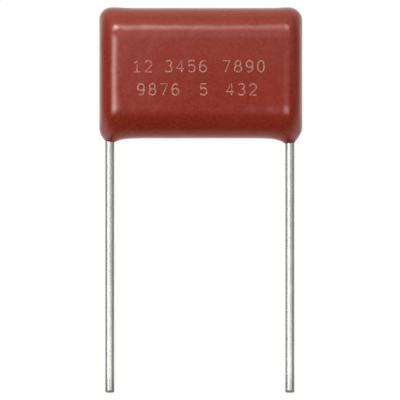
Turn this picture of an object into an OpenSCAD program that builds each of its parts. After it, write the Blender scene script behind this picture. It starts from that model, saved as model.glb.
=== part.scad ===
// Dipped film capacitor with two radial wire leads.
// Millimetres. The origin lies on the seating plane, midway between the leads: the coating's longer neck
// touches that plane. +Z points away from the board, +X runs from lead to lead, and Y is the thickness.

/* [Winding] */
// Height across the flattened winding
winding_h = 11.2; // [9:0.1:16]
// Thickness through the flattened winding
winding_t = 5; // [3:0.1:6.5]
// Width of the slit left where the winding mandrel was drawn out
core_slit = 0.12; // [0.06:0.02:0.4]
// Spacing of the turns that show at each end of the winding
turn_pitch = 0.5; // [0.3:0.05:0.8]
// How far every other turn stands back at each end
edge_stagger = 0.25; // [0.1:0.05:0.5]

/* [Outer wrap] */
// Thickness of the blank film wrapped round the winding
wrap_t = 0.15; // [0.1:0.05:0.4]

/* [End contacts] */
// Thickness of the zinc sprayed on each end of the winding
spray_t = 0.6; // [0.4:0.05:1]

/* [Leads] */
// Distance between the centres of the leads
lead_pitch = 17.5; // [15:0.1:27.5]
// Diameter of the tinned wire
lead_d = 0.9; // [0.6:0.05:1]
// Length of wire below the seating plane
lead_free = 24.15; // [4:0.05:30]
// Chamfer that the shear leaves round the cut end
cut_chamfer = 0.1; // [0.05:0.01:0.2]
// Thickness of the wire where it is flattened for welding
weld_t = 0.5; // [0.4:0.05:0.6]
// Width of the flattened wire
weld_w = 1.2; // [0.8:0.05:1.4]
// Length of flattened wire on the zinc
weld_len = 8; // [3:0.1:8.5]
// Depth that the flattened wire is pressed into the zinc
weld_sink = 0.2; // [0.1:0.02:0.3]
// Height of the flattened wire's start above the bottom of the zinc
weld_rise = 0.6; // [0.3:0.05:1]

/* [Coating] */
// Thickness over the two large faces
coat_face = 0.6; // [0.4:0.05:1]
// Thickness over the top and under the bottom
coat_edge = 0.59; // [0.4:0.01:1]
// Thickness over the leads, at the two ends
coat_end = 0.67; // [0.6:0.01:1]
// How much thinner the coating is at the ends of the large faces than in the middle
face_crown = 0.1; // [0:0.02:0.2]
// Distance over which each end rounds off from the large faces
end_reach = 2; // [1.8:0.1:3]
// Fullness of the rounded ends: 2 is an ellipse, and more is squarer
end_fullness = 2.3; // [2.1:0.1:2.8]
// Corner radius at the top of the outline
corner_top = 1.1; // [0.9:0.05:1.5]
// Corner radius at the bottom of the outline
corner_bottom = 1.15; // [0.9:0.05:1.5]
// How much larger the corner radii are at the right end
corner_extra = 0.15; // [0:0.05:0.3]
// Rise of the top edge near each end
end_swell = 0.07; // [0:0.01:0.2]
// Distance from each end to the crest of that rise
swell_inset = 1.5; // [1:0.1:3]
// Distance over which the rise fades
swell_reach = 0.85; // [0.5:0.05:1.5]
// Length of the coating that has run down the left lead
neck_left = 0.4; // [0.1:0.02:1]
// Length of the coating that has run down the right lead
neck_right = 0.54; // [0.1:0.02:1]
// Distance over which each neck fades into the underside
neck_reach = 0.65; // [0.4:0.05:0.8]
// How far the coating sits to the right of the leads' middle
coat_shift = 0.1; // [-0.2:0.05:0.2]

/* [Hidden] */

LEFT = -1;
RIGHT = 1;
$fn = 64;

// The underside stands clear of the seating plane by the longer of the two necks
coat_bottom = max(neck_left, neck_right);

// The pressed winding in its wrap, and the zinc that ends flush with the wrap
pack_h = winding_h + 2 * wrap_t;
pack_t = winding_t + 2 * wrap_t;
pack_z = coat_bottom + coat_edge + pack_h / 2;
spray_x = lead_pitch / 2 - lead_d / 2 + weld_sink;
film_x = spray_x - spray_t;
turn_count = floor((winding_t - core_slit) / 2 / turn_pitch);

// The coating's outside
coat_x = lead_pitch / 2 + lead_d / 2 + coat_end;
half_t = pack_t / 2 + coat_face;
coat_top = coat_bottom + pack_h + 2 * coat_edge;
shoulder_x = coat_x - end_reach;
swell_x = coat_x - swell_inset;

// The leads: round up to halfway through the necks, then gradually flatter up to the weld
round_z = coat_bottom / 2;
weld_z = pack_z - pack_h / 2 + weld_rise;
weld_x = lead_pitch / 2 - lead_d / 2 + weld_t / 2;
slice = 0.01;

// Mesh of the coating's outside: rings of points, one at each station along X
span_steps = 11;
span_growth = 1.3;
end_steps = 20;
tip_angle = 87;
top_steps = 24;
bottom_steps = 42;
bottom_crowding = 0.5;
ring_size = top_steps + bottom_steps + 2;

// From the middle, each gap to the shoulder is smaller than the last, and then the end rounds off
half_stations = concat(
    [for (i = [0:span_steps - 1])
        shoulder_x * (1 - (pow(span_growth, span_steps - i) - 1) / (pow(span_growth, span_steps) - 1))],
    [for (i = [0:end_steps])
        shoulder_x + end_reach * pow(sin(tip_angle * i / end_steps), 2 / end_fullness)]
);
stations = concat(
    [for (i = [len(half_stations) - 1:-1:1]) -half_stations[i]],
    half_stations
);

// Height that a rounded corner of the outline takes off at x, with the radius for the left end
function corner_cut(x, left_r) =
    let (r = x < 0 ? left_r : left_r + corner_extra,
         past = max(0, abs(x) - (coat_x - r)))
    r - sqrt(r * r - past * past);

function half_depth(x) =
    let (share = max(0, abs(x) - shoulder_x) / end_reach)
    (half_t - face_crown * pow(x / coat_x, 2)) * pow(1 - pow(share, end_fullness), 1 / end_fullness);

function top_z(x) = coat_top - corner_cut(x, corner_top)
    + end_swell * exp(-pow((abs(x) - swell_x) / swell_reach, 2));

function bottom_z(x) = coat_bottom + corner_cut(x, corner_bottom);

// How far the coating hangs below the underside at (x, y): full against the wire, and fading away from it
function neck_at(x, y) =
    let (board_x = x + coat_shift,
         drop = board_x < 0 ? neck_left : neck_right,
         from_wire = norm([abs(board_x) - lead_pitch / 2, y]) - lead_d / 2)
    drop * exp(-max(0, from_wire) / neck_reach);

// Angle along the bottom arc, with the points crowded towards the middle where the necks are
function crowded(step) =
    let (s = 2 * step / bottom_steps - 1)
    90 + 90 * s * (1 - bottom_crowding + bottom_crowding * s * s);

// One section of the outside: a half round over the top, and one under the bottom with the necks
function ring(x) = concat(
    [for (i = [0:top_steps])
        let (a = 180 * i / top_steps)
        [x, half_depth(x) * cos(a), top_z(x) - half_t * (1 - sin(a))]],
    [for (i = [0:bottom_steps])
        let (a = crowded(i), y = -half_depth(x) * cos(a))
        [x, y, bottom_z(x) + half_t * (1 - sin(a)) - neck_at(x, y) * sin(a)]]
);

function wall_faces() = [
    for (i = [0:len(stations) - 2], j = [0:ring_size - 1])
        let (k = (j + 1) % ring_size, a = i * ring_size, b = a + ring_size)
        each [[a + j, a + k, b + k], [a + j, b + k, b + j]]
];

function cap_faces() =
    let (last = (len(stations) - 1) * ring_size)
    [[for (j = [ring_size - 1:-1:0]) j], [for (j = [0:ring_size - 1]) last + j]];

module coating_outside() {
    translate([coat_shift, 0, 0])
        polyhedron(
            points = [for (x = stations) each ring(x)],
            faces = concat(wall_faces(), cap_faces())
        );
}

// A flat oval, long in Z, extruded along X from x0 to x1
module flat_oval(h, t, x0, x1) {
    translate([x0, 0, pack_z])
        rotate([90, 0, 90])
            linear_extrude(height = x1 - x0)
                union() {
                    square([t, h - t], center = true);
                    for (end = [-1, 1])
                        translate([0, end * (h - t) / 2]) circle(d = t);
                }
}

// Every other turn of the winding, as it shows between x0 and x1
module standing_turns(x0, x1) {
    for (i = [1:2:turn_count - 1]) {
        outer = 2 * turn_pitch * i;
        difference() {
            flat_oval(winding_h - outer, winding_t - outer, x0, x1);
            flat_oval(winding_h - outer - 2 * turn_pitch, winding_t - outer - 2 * turn_pitch, x0, x1);
        }
    }
}

module core_gap(x0, x1) {
    flat_oval(winding_h - winding_t + core_slit, core_slit, x0, x1);
}

// The roll of metallised film, pressed flat
module winding() {
    color("gainsboro")
        difference() {
            flat_oval(winding_h, winding_t, -film_x, film_x);
            core_gap(-film_x, film_x);
            standing_turns(-film_x, -film_x + edge_stagger);
            standing_turns(film_x - edge_stagger, film_x);
        }
}

// Blank film that holds the winding closed
module wrap_film() {
    color("antiquewhite")
        difference() {
            flat_oval(pack_h, pack_t, -film_x, film_x);
            flat_oval(winding_h, winding_t, -film_x, film_x);
        }
}

// The wire's flattened length, from z0 to z1
module weld_flat(z0, z1) {
    translate([weld_x, 0, z0])
        linear_extrude(height = z1 - z0)
            union() {
                square([weld_t, weld_w - weld_t], center = true);
                for (side = [-1, 1])
                    translate([0, side * (weld_w - weld_t) / 2]) circle(d = weld_t);
            }
}

// Tinned wire: a chamfered cut end, the round leg, and the flattened end that is welded to the zinc
module wire() {
    union() {
        translate([lead_pitch / 2, 0, -lead_free])
            cylinder(h = cut_chamfer, d1 = lead_d - 2 * cut_chamfer, d2 = lead_d);
        translate([lead_pitch / 2, 0, -lead_free + cut_chamfer])
            cylinder(h = round_z + lead_free - cut_chamfer, d = lead_d);
        hull() {
            translate([lead_pitch / 2, 0, round_z - slice]) cylinder(h = slice, d = lead_d, $fn = 32);
            weld_flat(weld_z, weld_z + slice, $fn = 32);
        }
        weld_flat(weld_z, weld_z + weld_len);
    }
}

module lead(side) {
    color("silver") mirror([side == LEFT ? 1 : 0, 0, 0]) wire();
}

// Zinc sprayed on an end of the winding: it fills the turns that stand back, and holds the wire
module end_spray(side) {
    color("darkgray")
        mirror([side == LEFT ? 1 : 0, 0, 0])
            difference() {
                union() {
                    flat_oval(pack_h, pack_t, film_x, spray_x);
                    standing_turns(film_x - edge_stagger, film_x);
                }
                wire();
            }
}

// Epoxy dipped over the whole pack: thin at the rounded edges, and run down each lead in a neck
module coating() {
    color([0.58, 0.23, 0.18])
        difference() {
            coating_outside();
            flat_oval(pack_h, pack_t, -spray_x, spray_x);
            wire();
            mirror([1, 0, 0]) wire();
        }
}

coating();
wrap_film();
winding();
end_spray(LEFT);  // end_spray_left
end_spray(RIGHT);  // end_spray_right
lead(LEFT);  // lead_left
lead(RIGHT);  // lead_right
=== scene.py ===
import math

import bpy
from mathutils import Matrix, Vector


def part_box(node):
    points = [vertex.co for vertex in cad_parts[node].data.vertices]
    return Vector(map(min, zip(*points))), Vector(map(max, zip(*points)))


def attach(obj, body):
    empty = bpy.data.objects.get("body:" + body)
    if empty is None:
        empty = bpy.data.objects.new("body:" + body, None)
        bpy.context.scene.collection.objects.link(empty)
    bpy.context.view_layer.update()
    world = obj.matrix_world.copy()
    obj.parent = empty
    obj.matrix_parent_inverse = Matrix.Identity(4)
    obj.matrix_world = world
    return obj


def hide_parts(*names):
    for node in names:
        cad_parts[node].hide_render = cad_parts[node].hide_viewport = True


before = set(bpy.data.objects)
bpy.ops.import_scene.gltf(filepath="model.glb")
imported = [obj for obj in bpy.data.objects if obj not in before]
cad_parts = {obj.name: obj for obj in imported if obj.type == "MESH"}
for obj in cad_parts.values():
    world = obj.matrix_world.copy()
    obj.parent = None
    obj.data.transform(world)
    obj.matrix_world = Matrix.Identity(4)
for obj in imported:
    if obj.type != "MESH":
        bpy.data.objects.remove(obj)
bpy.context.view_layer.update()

MM = 0.001
coating_low, coating_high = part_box("coating")
left_low, left_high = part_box("lead_left")
right_low, right_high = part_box("lead_right")
lead_tip = left_low.z
lead_axis_y = (left_low.y + left_high.y) / 2
middle_x = (left_low.x + right_high.x) / 2
half_pitch = (right_low.x + right_high.x) / 2 - middle_x
body_middle = (coating_low + coating_high) / 2


# ---------------------------------------------------------------- shader maths

# The Mix node's sockets for colours, by number because their names repeat
MIX_SHARE, MIX_FIRST, MIX_SECOND, MIX_COLOUR = 0, 6, 7, 2
DEGREES = 180 / math.pi


class Shade:
    """A socket of a node tree. Arithmetic on it adds Math nodes, and node() adds any other."""

    def __init__(self, tree, socket=None):
        self.tree = tree
        self.socket = socket

    def node(self, kind, settings=None, inputs=None, output=0):
        """An output of a new node, which gets its settings first and then its inputs."""
        new = self.tree.nodes.new(kind)
        for name, value in (settings or {}).items():
            if name == "stops":
                self.set_stops(new.color_ramp.elements, value)
            else:
                setattr(new, name, value)
        for name, value in (inputs or {}).items():
            if isinstance(value, Shade):
                self.tree.links.new(value.socket, new.inputs[name])
            elif isinstance(value, tuple) and new.inputs[name].type == "RGBA":
                new.inputs[name].default_value = (*value, 1)
            else:
                new.inputs[name].default_value = value
        return Shade(self.tree, new.outputs[output] if new.outputs else None)

    @staticmethod
    def set_stops(elements, stops):
        while len(elements) < len(stops):
            elements.new(0.5)
        for element, (position, level) in zip(elements, stops):
            element.position = position
            element.color = (level, level, level, 1)

    def maths(self, operation, first, second=0.0):
        return self.node("ShaderNodeMath", {"operation": operation}, {0: first, 1: second})

    def __add__(self, other):
        return self.maths("ADD", self, other)

    def __radd__(self, other):
        return self.maths("ADD", other, self)

    def __sub__(self, other):
        return self.maths("SUBTRACT", self, other)

    def __rsub__(self, other):
        return self.maths("SUBTRACT", other, self)

    def __mul__(self, other):
        return self.maths("MULTIPLY", self, other)

    def __rmul__(self, other):
        return self.maths("MULTIPLY", other, self)

    def __abs__(self):
        return self.maths("ABSOLUTE", self)

    def at_least(self, other):
        return self.maths("MAXIMUM", self, other)

    def angle_from(self, other):
        """The angle in degrees whose tangent is this value over the other."""
        return self.maths("ARCTAN2", self, other) * DEGREES

    def arcsine(self):
        """The angle in degrees whose sine is this value."""
        return self.maths("ARCSINE", self) * DEGREES

    def along(self, axis):
        """The part of this vector along "X", "Y" or "Z"."""
        return self.node("ShaderNodeSeparateXYZ", inputs={"Vector": self}, output=axis)

    def between(self, low, high):
        """0 up to low and 1 from high, with a smooth rise between them. Low may be the larger."""
        settings = {"interpolation_type": "SMOOTHSTEP"}
        return self.node("ShaderNodeMapRange", settings, {"Value": self, "From Min": low, "From Max": high})

    def blend(self, first, second):
        """A colour that is first where this value is 0 and second where it is 1."""
        inputs = {MIX_SHARE: self, MIX_FIRST: first, MIX_SECOND: second}
        return self.node("ShaderNodeMix", {"data_type": "RGBA"}, inputs, MIX_COLOUR)

    def scaled(self, colour):
        """A colour times this value."""
        return self.node("ShaderNodeVectorMath", {"operation": "SCALE"}, {0: colour, "Scale": self})

    def bump(self, height, under=None):
        """A normal, bent by this value, which is a height of 0 to 1 times height in metres."""
        inputs = {"Height": self, "Distance": height}
        if under:
            inputs["Normal"] = under
        return self.node("ShaderNodeBump", inputs=inputs)


def place(tree):
    """Where a point is from its object's origin, in metres. The part's pieces share one origin."""
    return Shade(tree).node("ShaderNodeTexCoord", output="Object")


def stretched(where, scale):
    """A pattern on this is drawn out along the axes where scale is small."""
    return where.node("ShaderNodeMapping", inputs={"Vector": where, "Scale": scale})


def noise(where, size, detail=2.0, roughness=0.5):
    inputs = {"Vector": where, "Scale": 1 / size, "Detail": detail, "Roughness": roughness}
    return where.node("ShaderNodeTexNoise", inputs=inputs)


def cells(where, size):
    return where.node("ShaderNodeTexVoronoi", inputs={"Vector": where, "Scale": 1 / size})


def finish(name):
    """A new material and its tree, with the nodes cleared."""
    material = bpy.data.materials.new(name)
    material.use_nodes = True
    material.node_tree.nodes.clear()
    return material, material.node_tree


def surface(tree, shader):
    Shade(tree).node("ShaderNodeOutputMaterial", inputs={"Surface": shader})


def principled(tree, inputs):
    surface(tree, Shade(tree).node("ShaderNodeBsdfPrincipled", inputs=inputs))


# ---------------------------------------------------------------- finishes

def red_brown_epoxy():
    """Cured epoxy: glossy and a little wavy, mottled, with painted shade as a dark collar where it ends on
    the wires.
    """
    deep = (0.223, 0.0125, 0.0026)
    warm = (0.254, 0.0160, 0.0048)
    fleck = (0.273, 0.0250, 0.0115)
    # Colour of the painted shade on the underside of the coating round each wire
    painted_shade_red = (0.135, 0.0050, 0.0015)
    material, tree = finish("red_brown_epoxy")
    where = place(tree)
    clouds = noise(where, 4 * MM, detail=3.0)
    mottle = noise(where, 0.3 * MM, detail=4.0, roughness=0.7)
    from_wire = abs(abs(where.along("X") - middle_x) - half_pitch)
    height = where.along("Z") - coating_low.z
    # A collar of painted shade where the coating ends on each wire, which is also made rougher there
    painted_shade_collar = height.between(0.55 * MM, 0.2 * MM) * from_wire.between(0.6 * MM, 0.25 * MM)
    colour = clouds.between(0.3, 0.7).blend(deep, warm)
    colour = mottle.between(0.35, 0.65).blend(colour, fleck)
    colour = painted_shade_collar.blend(colour, painted_shade_red)
    waves = noise(where, 2.4 * MM, detail=1.0).bump(0.05 * MM)
    ripples = noise(where, 0.9 * MM, detail=1.0).bump(0.015 * MM, under=waves)
    orange_peel = noise(where, 0.3 * MM).bump(0.0015 * MM, under=ripples)
    principled(tree, {
        "Base Color": colour,
        "Roughness": mottle * 0.04 + 0.17 + 0.35 * painted_shade_collar,
        "IOR": 1.5,
        "Normal": orange_peel})
    return material


def marking_ink():
    """Pale ink, thin enough that the coating shows through in specks."""
    worn = (0.29, 0.055, 0.032)
    pale = (0.57, 0.28, 0.21)
    material, tree = finish("marking_ink")
    coverage = noise(place(tree), 0.12 * MM, detail=3.0, roughness=0.6).between(0.4, 0.58)
    principled(tree, {
        "Base Color": coverage.blend(worn, pale),
        "Roughness": 0.2,
        "Normal": coverage.bump(0.001 * MM)})
    return material


def tinned_wire():
    """Bright tin over hard wire, with fine drawing lines along it, dull patches, and a dark band over the
    last 0.3 mm of its end.
    """
    dull_tin = (0.52, 0.515, 0.465)
    bright_tin = (0.57, 0.565, 0.52)
    dark_end_grey = (0.21, 0.20, 0.18)
    material, tree = finish("tinned_wire")
    where = place(tree)
    lines = noise(stretched(where, (1, 1, 0.02)), 0.05 * MM, detail=3.0, roughness=0.7)
    patches = noise(where, 1.5 * MM, detail=3.0, roughness=0.6)
    tin = patches.between(0.3, 0.7).blend(dull_tin, bright_tin)
    height = where.along("Z") - lead_tip
    dark_end = (height + 0.12 * MM * lines).between(0.35 * MM, 0.28 * MM)
    scuffed = 0.45 * (height - 0.5 * MM * patches).between(1.8 * MM, 0.3 * MM)
    principled(tree, {
        "Base Color": dark_end.at_least(scuffed).blend(tin, dark_end_grey),
        "Metallic": 0.55 - 0.45 * dark_end,
        "Roughness": patches * 0.08 + 0.17 + 0.4 * dark_end,
        "Normal": lines.bump(0.002 * MM)})
    return material


def sprayed_zinc():
    """Zinc blown on in droplets: matt, grainy and grey."""
    dark_zinc = (0.28, 0.285, 0.29)
    light_zinc = (0.47, 0.475, 0.48)
    material, tree = finish("sprayed_zinc")
    where = place(tree)
    droplets = cells(where, 0.09 * MM)
    dust = noise(where, 0.3 * MM, detail=5.0, roughness=0.7)
    principled(tree, {
        "Base Color": dust.between(0.3, 0.7).blend(dark_zinc, light_zinc),
        "Metallic": 0.7,
        "Roughness": dust * 0.2 + 0.5,
        "Normal": droplets.bump(0.02 * MM)})
    return material


def metallised_film():
    """Film with a breath of metal on it: silvery, with the edges of the turns as fine lines."""
    edge = (0.50, 0.51, 0.54)
    silver = (0.68, 0.69, 0.71)
    material, tree = finish("metallised_film")
    where = place(tree)
    turns = noise(stretched(where, (0.02, 1, 0.06)), 0.03 * MM)
    wrinkles = noise(where, 1.8 * MM).bump(0.02 * MM)
    principled(tree, {
        "Base Color": turns.between(0.35, 0.65).blend(edge, silver),
        "Metallic": 0.85,
        "Roughness": turns * 0.15 + 0.22,
        "Normal": turns.bump(0.004 * MM, under=wrinkles)})
    return material


def blank_film():
    """Clear film wrapped several times, so that it looks milky."""
    amber = (0.66, 0.64, 0.56)
    milky = (0.78, 0.76, 0.69)
    material, tree = finish("blank_film")
    where = place(tree)
    milk = noise(where, 2.2 * MM)
    scuffs = noise(stretched(where, (0.1, 1, 1)), 0.1 * MM, detail=3.0)
    principled(tree, {
        "Base Color": milk.between(0.3, 0.7).blend(amber, milky),
        "Roughness": scuffs * 0.15 + 0.15,
        "Normal": milk.bump(0.015 * MM)})
    return material


# ---------------------------------------------------------------- pieces

SAME_POINT = 0.0002 * MM
SOFT_EDGE = math.radians(35)


def select_only(obj):
    bpy.ops.object.select_all(action="DESELECT")
    obj.select_set(True)
    bpy.context.view_layer.objects.active = obj


def dipped_skin():
    """The coating as one smooth skin: a copy of the CAD node with its loose triangles joined."""
    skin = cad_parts["coating"].copy()
    skin.data = skin.data.copy()
    skin.name = "dipped_skin"
    skin.parent = None
    bpy.context.scene.collection.objects.link(skin)
    select_only(skin)
    bpy.ops.mesh.customdata_custom_splitnormals_clear()
    bpy.ops.object.mode_set(mode="EDIT")
    bpy.ops.mesh.select_all(action="SELECT")
    bpy.ops.mesh.remove_doubles(threshold=SAME_POINT)
    bpy.ops.object.mode_set(mode="OBJECT")
    bpy.ops.object.shade_smooth_by_angle(angle=SOFT_EDGE)
    return skin


def bow(x, y, reach_x, reach_y, start, end):
    """Points along an ellipse about (x, y), about 20 degrees apart, from one angle in degrees to another."""
    steps = max(4, round(abs(end - start) / 20))
    angles = [math.radians(start + (end - start) * i / steps) for i in range(steps + 1)]
    return [(x + reach_x * math.cos(a), y + reach_y * math.sin(a)) for a in angles]


# The strokes of each digit, in a cell 1 high and about 0.64 wide
DIGIT_STROKES = {
    "0": [bow(0, 0.5, 0.29, 0.5, 0, 360)],
    "1": [[(-0.24, 0.78), (0, 1), (0, 0)], [(-0.26, 0), (0.26, 0)]],
    "2": [bow(0, 0.71, 0.29, 0.29, 165, -35) + [(-0.3, 0), (0.3, 0)]],
    "3": [bow(-0.02, 0.76, 0.27, 0.24, 150, -80), bow(-0.02, 0.27, 0.31, 0.27, 80, -150)],
    "4": [[(0.15, 0), (0.15, 1), (-0.32, 0.3), (0.34, 0.3)]],
    "5": [[(0.26, 1), (-0.23, 1), (-0.26, 0.56)] + bow(-0.02, 0.32, 0.31, 0.32, 125, -145)],
    "6": [bow(0, 0.3, 0.29, 0.3, 0, 360), bow(0.03, 0.5, 0.32, 0.5, 60, 190)],
    "7": [[(-0.3, 1), (0.3, 1), (-0.1, 0)]],
    "8": [bow(0, 0.76, 0.24, 0.24, 0, 360), bow(0, 0.27, 0.3, 0.27, 0, 360)],
    "9": [bow(0, 0.7, 0.29, 0.3, 0, 360), bow(-0.03, 0.5, 0.32, 0.5, 10, -120)],
}
DIGIT_HEIGHT = 1.08 * MM
DIGIT_PITCH = 1.105 * MM
STROKE_WIDTH = 0.15 * MM
INK_DEPTH = 0.008 * MM
# Each line: how far its middle is below the coating's top, and its groups of digits, each with how far its
# first digit is to the right of the coating's middle
MARK_LINES = (
    (5.9 * MM, (("12", -6.13 * MM), ("3456", -3.09 * MM), ("7890", 2.47 * MM))),
    (8.12 * MM, (("9876", -5.75 * MM), ("5", 0.27 * MM), ("432", 2.8 * MM))),
)
# The spot for each digit is found from a point well in front of the coating
WELL_IN_FRONT = -1.0
BACKWARDS = Vector((0, 1, 0))


def ink_digit(digit):
    """One digit, flat and lying about the origin, as beads of ink along its strokes."""
    curve = bpy.data.curves.new("digit_" + digit, "CURVE")
    curve.dimensions = "3D"
    curve.bevel_depth = STROKE_WIDTH / 2
    curve.bevel_resolution = 1
    curve.use_fill_caps = True
    for stroke in DIGIT_STROKES[digit]:
        spline = curve.splines.new("POLY")
        spline.points.add(len(stroke) - 1)
        for point, (x, y) in zip(spline.points, stroke):
            point.co = (x * DIGIT_HEIGHT, (y - 0.5) * DIGIT_HEIGHT, 0, 1)
    obj = bpy.data.objects.new("digit_" + digit, curve)
    bpy.context.scene.collection.objects.link(obj)
    select_only(obj)
    bpy.ops.object.convert(target="MESH")
    obj = bpy.context.object
    obj.scale = (1, 1, 2 * INK_DEPTH / STROKE_WIDTH)
    bpy.ops.object.transform_apply(location=True, rotation=True, scale=True)
    return obj


def set_digit(pattern, skin, x, z):
    """A copy of a digit, set on the skin and turned to its slope."""
    _, spot, outward, _ = skin.ray_cast(Vector((x, WELL_IN_FRONT, z)), BACKWARDS)
    copy = pattern.copy()
    copy.data = copy.data.copy()
    copy.location = spot
    copy.rotation_euler = outward.to_track_quat("Z", "Y").to_euler()
    bpy.context.scene.collection.objects.link(copy)
    return copy


def marking(skin):
    """Plain digits in two lines on the front of the coating."""
    patterns = {digit: ink_digit(digit) for digit in DIGIT_STROKES}
    placed = []
    for below_top, groups in MARK_LINES:
        for group, first_x in groups:
            for index, digit in enumerate(group):
                x = body_middle.x + first_x + index * DIGIT_PITCH
                placed.append(set_digit(patterns[digit], skin, x, coating_high.z - below_top))
    for pattern in patterns.values():
        bpy.data.objects.remove(pattern)
    select_only(placed[0])
    for copy in placed:
        copy.select_set(True)
    bpy.ops.object.join()
    mark = bpy.context.object
    mark.name = "marking"
    bpy.ops.object.transform_apply(location=True, rotation=True, scale=True)
    return mark


# ---------------------------------------------------------------- dressing the part

def dress(obj, material):
    obj.data.materials.clear()
    obj.data.materials.append(material)


skin = dipped_skin()
dress(skin, red_brown_epoxy())
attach(skin, "root")
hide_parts("coating")

mark = marking(skin)
dress(mark, marking_ink())
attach(mark, "root")

wire_finish = tinned_wire()
zinc_finish = sprayed_zinc()
node_finishes = {
    "lead_left": wire_finish,
    "lead_right": wire_finish,
    "end_spray_left": zinc_finish,
    "end_spray_right": zinc_finish,
    "winding": metallised_film(),
    "wrap_film": blank_film(),
}
for node, material in node_finishes.items():
    dress(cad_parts[node], material)


# ---------------------------------------------------------------- studio

def glow(tree, colour):
    return Shade(tree).node("ShaderNodeEmission", inputs={"Color": colour, "Strength": 1.0})


def background_rays(tree):
    """1 for the rays that show the background: from the camera, in a reflection or through something."""
    seen, mirrored, through = (
        Shade(tree).node("ShaderNodeLightPath", output=name)
        for name in ("Is Camera Ray", "Is Glossy Ray", "Is Transmission Ray"))
    return seen.at_least(mirrored).at_least(through)


def white_world(ambient):
    """White where it shows. Its light on the part is lower, at ambient."""
    world = bpy.data.worlds.new("studio")
    bpy.context.scene.world = world
    world.use_nodes = True
    tree = world.node_tree
    tree.nodes.clear()
    strength = background_rays(tree) * (1 - ambient) + ambient
    backdrop = Shade(tree).node("ShaderNodeBackground", inputs={"Color": (1, 1, 1), "Strength": strength})
    Shade(tree).node("ShaderNodeOutputWorld", inputs={"Surface": backdrop})


def floor(level, size):
    """A white floor at the cut ends of the leads. It throws less light back up than it shows."""
    seen_white = (0.95, 0.95, 0.95)
    bounced_grey = (0.58, 0.58, 0.58)
    bpy.ops.mesh.primitive_plane_add(size=size, location=(0, 0, level))
    plane = bpy.context.object
    plane.name = "floor"
    material, tree = finish("pale_floor")
    rays = background_rays(tree)
    matt = Shade(tree).node("ShaderNodeBsdfDiffuse", inputs={"Color": rays.blend(bounced_grey, seen_white)})
    # Mostly glow, with a tenth of matt floor in it that keeps the part's shadow
    mixed = Shade(tree).node("ShaderNodeMixShader", inputs={0: rays * 0.9, 1: matt, 2: glow(tree, (1, 1, 1))})
    surface(tree, mixed)
    dress(plane, material)
    plane.visible_glossy = False


def around(angle, stops):
    """A level that follows an angle in degrees, from stops of an angle and a level."""
    share = angle * (1 / 360) + 0.5
    settings = {"stops": [(0.5 + at / 360, level) for at, level in stops]}
    return share.node("ShaderNodeValToRGB", settings, {0: share})


# Grey of the cloth over the part: 0 degrees is in front, 90 is above, and -90 is underneath
OVER_STOPS = (
    (-180, 1.0), (-154, 0.86), (-143, 0.78), (-133, 0.71), (-125, 0.64), (-112, 0.48), (-101, 0.38),
    (-93, 0.08), (-86, 0.05), (-46, 0.06), (-34, 0.17), (-28, 0.26), (-22, 0.18), (2, 0.23), (6, 0.7),
    (10, 0.55), (14, 0.98), (19, 1.32), (34, 0.9), (62, 0.92), (70, 0.88), (80, 0.74), (100, 0.8),
    (112, 0.84), (124, 0.8), (143, 0.93), (158, 0.97), (180, 1.0))
# Brightness along the light over the part, from its left end to its right end
TOP_STOPS = (
    (-57, 0.0), (-48, 0.38), (-33, 1.0), (-16, 0.94), (-9, 0.6), (-5, 0.34), (-3, 0.33), (0, 0.27),
    (2, 0.25), (5, 0.18), (13, 0.26), (25, 0.56), (40, 0.44), (50, 0.07), (54, 0.0))


def cloth_grey(x, y, z, pitch):
    """The tent's cloth: darker beyond the part's two ends, and paler low down behind it."""
    level = around(pitch, OVER_STOPS) * (1 - 0.15 * x * z.between(0, 0.3))
    beside = 0.81 * abs(x).between(0.65, 1.09)
    behind = 0.9 * abs(x).between(0.38, 1.14)
    level = level * (1 - beside - y.between(-0.03, 0.03) * (behind - beside))
    low_back = abs(x).between(0, 0.5) * y.between(-0.4, 0.38) * z.between(0, -0.6)
    return level + low_back * (0.62 - 0.15 * x)


def top_light(azimuth, pitch):
    """A strip over the part, narrower towards its middle, which draws the line along the top edge."""
    spread = abs(azimuth).between(1, 12)
    strip = pitch.between(33.5 - 4.5 * spread, 47.8) * pitch.between(56.4, 47.8)
    return 12 * around(azimuth, TOP_STOPS) * strip


def corner_light(azimuth, elevation):
    """A small lamp up on the left."""
    return 5 * abs(azimuth + 22).between(14, 8) * abs(elevation - 43).between(6, 1.5)


def left_light(azimuth, elevation):
    """A tall window on the left, brighter in its lower half."""
    window = azimuth.between(-63, -28) * azimuth.between(-0.5, -37)
    window = window * elevation.between(-34, -9) * elevation.between(18, 9)
    return window * (7.2 + 3.6 * elevation.between(-3, -9))


def right_light(azimuth, elevation):
    """A dim window on the right, with most of its light low down."""
    window = azimuth.between(3, 16) * azimuth.between(52, 28) * elevation.between(-36, -16)
    return window * (0.7 * elevation.between(9, 3) + 4.2 * elevation.between(-6, -14))


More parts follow.
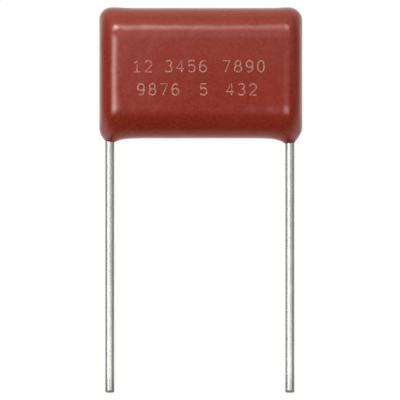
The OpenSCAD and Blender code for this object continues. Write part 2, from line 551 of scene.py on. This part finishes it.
def tent(radius):
    """A tent of grey cloth with soft lights let into it. Only reflections show it."""
    warm_white = (1, 1, 0.955)
    bpy.ops.mesh.primitive_ico_sphere_add(subdivisions=4, radius=radius, location=body_middle)
    cloth = bpy.context.object
    cloth.name = "tent"
    material, tree = finish("tent_cloth")
    where = place(tree)
    outward = where.node("ShaderNodeVectorMath", {"operation": "NORMALIZE"}, {0: where})
    x, y, z = (outward.along(axis) for axis in "XYZ")
    azimuth = x.angle_from(0 - y)
    pitch = z.angle_from(0 - y)
    elevation = z.arcsine()
    light = cloth_grey(x, y, z, pitch) + top_light(azimuth, pitch) + corner_light(azimuth, elevation)
    light = light + left_light(azimuth, elevation) + right_light(azimuth, elevation)
    surface(tree, glow(tree, light.scaled(warm_white)))
    dress(cloth, material)
    cloth.visible_camera = False
    cloth.visible_diffuse = False
    cloth.visible_shadow = False
    cloth.visible_transmission = False


def soft_sun(name, azimuth, elevation, strength, softness):
    """Even light on the whole stage, from azimuth degrees to the right of the front."""
    turn, lift = math.radians(azimuth), math.radians(elevation)
    towards = Vector((math.sin(turn) * math.cos(lift), -math.cos(turn) * math.cos(lift), math.sin(lift)))
    data = bpy.data.lights.new(name, "SUN")
    data.energy = strength
    data.angle = math.radians(softness)
    sun = bpy.data.objects.new(name, data)
    sun.rotation_euler = towards.to_track_quat("Z", "Y").to_euler()
    sun.visible_glossy = False
    bpy.context.scene.collection.objects.link(sun)


FRAME_WIDTH = 38.88 * MM
LENS = 250
SENSOR_WIDTH = 36


def camera(aim):
    """A long lens, level and straight in front, that takes in FRAME_WIDTH at aim."""
    data = bpy.data.cameras.new("camera")
    data.lens = LENS
    data.sensor_width = SENSOR_WIDTH
    data.clip_start = 0.01
    data.clip_end = 50
    eye = bpy.data.objects.new("camera", data)
    eye.location = (aim.x, aim.y - FRAME_WIDTH * LENS / SENSOR_WIDTH, aim.z)
    eye.rotation_euler = (math.radians(90), 0, 0)
    bpy.context.scene.collection.objects.link(eye)
    bpy.context.scene.camera = eye


white_world(ambient=0.65)
floor(level=lead_tip, size=6.0)
tent(radius=0.3)
soft_sun("key", azimuth=-30, elevation=42, strength=0.5 * math.pi, softness=60)
soft_sun("back_fill", azimuth=160, elevation=30, strength=0.3 * math.pi, softness=60)
part_middle = Vector((middle_x, lead_axis_y, (lead_tip + coating_high.z) / 2))
camera(part_middle + Vector((0.02 * MM, 0, -0.018 * MM)))

bpy.context.scene.view_settings.view_transform = "Standard"
